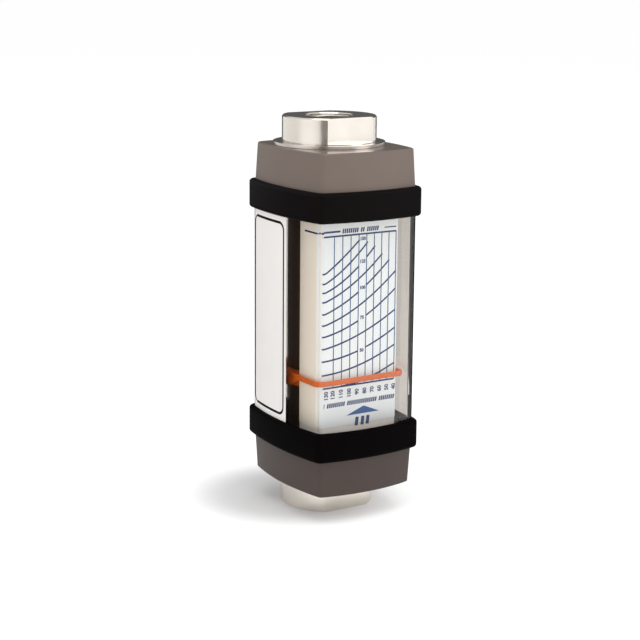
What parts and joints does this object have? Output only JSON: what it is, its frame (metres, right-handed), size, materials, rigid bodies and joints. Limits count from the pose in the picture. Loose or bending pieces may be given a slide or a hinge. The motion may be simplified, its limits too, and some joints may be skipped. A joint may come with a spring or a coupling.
{
  "type": "in-line variable-area flow meter",
  "caption": "In-line flow meter: aluminium casing with a threaded port at each end, turning clear housing with grey caps and rubber bands, folded scale and orange indicator moved by magnets.",
  "frame": {"origin": "centre of the inlet port's face, on the casing axis, where the meter stands", "axes": "+Z along the casing axis towards the outlet, -Y towards the chart, so the label faces -X"},
  "size_m": [0.0562, 0.064, 0.168],
  "materials": {
    "machined_aluminium": "turned and milled, bright",
    "spring_steel": "stamped, satin",
    "stainless_steel": "turned, satin",
    "grey_nylon": "moulded, fine grain",
    "black_rubber": "moulded, satin",
    "clear_polycarbonate": "extruded, clear",
    "label_film": "printed film",
    "white_sheet": "folded, painted",
    "scale_film": "printed film",
    "orange_plastic": "moulded",
    "magnet_ferrite": "sintered"
  },
  "bodies": {
    "casing": {"pressure_casing": "machined_aluminium", "lower_retaining_ring": "spring_steel", "upper_retaining_ring": "spring_steel", "lower_cap_oring": "black_rubber", "upper_cap_oring": "black_rubber", "inlet_spider": "stainless_steel", "outlet_spider": "stainless_steel", "inlet_spider_clip": "spring_steel", "outlet_spider_clip": "spring_steel", "metering_cone": "stainless_steel", "cone_screw": "stainless_steel", "return_spring": "spring_steel"},
    "housing": {"lower_end_cap": "grey_nylon", "upper_end_cap": "grey_nylon", "lower_seal_band": "black_rubber", "upper_seal_band": "black_rubber", "window": "clear_polycarbonate", "side_label": "label_film", "scale_bracket": "white_sheet", "flow_scale": "scale_film"},
    "piston": {"orifice_piston": "stainless_steel", "transfer_magnet": "magnet_ferrite", "magnet_clip": "spring_steel"},
    "follower": {"indicator": "orange_plastic", "follower_magnet": "magnet_ferrite"}
  },
  "joints": [
    {"name": "housing_turn", "type": "hinge", "parent": "casing", "child": "housing", "pos_m": [0, 0, 0.084], "axis": [0, 0, 1], "continuous": true},
    {"name": "piston_lift", "type": "slide", "parent": "casing", "child": "piston", "axis": [0, 0, 1], "range_m": [0, 0.06], "stiffness_N_per_m": 87, "springref_m": -0.03, "deforming": ["return_spring"]},
    {"name": "follower_lift", "type": "slide", "parent": "housing", "child": "follower", "axis": [0, 0, 1], "range_m": [0, 0.06]}
  ],
  "couplings": [
    {"joint": "follower_lift", "follows": "piston_lift", "ratio": 1}
  ]
}
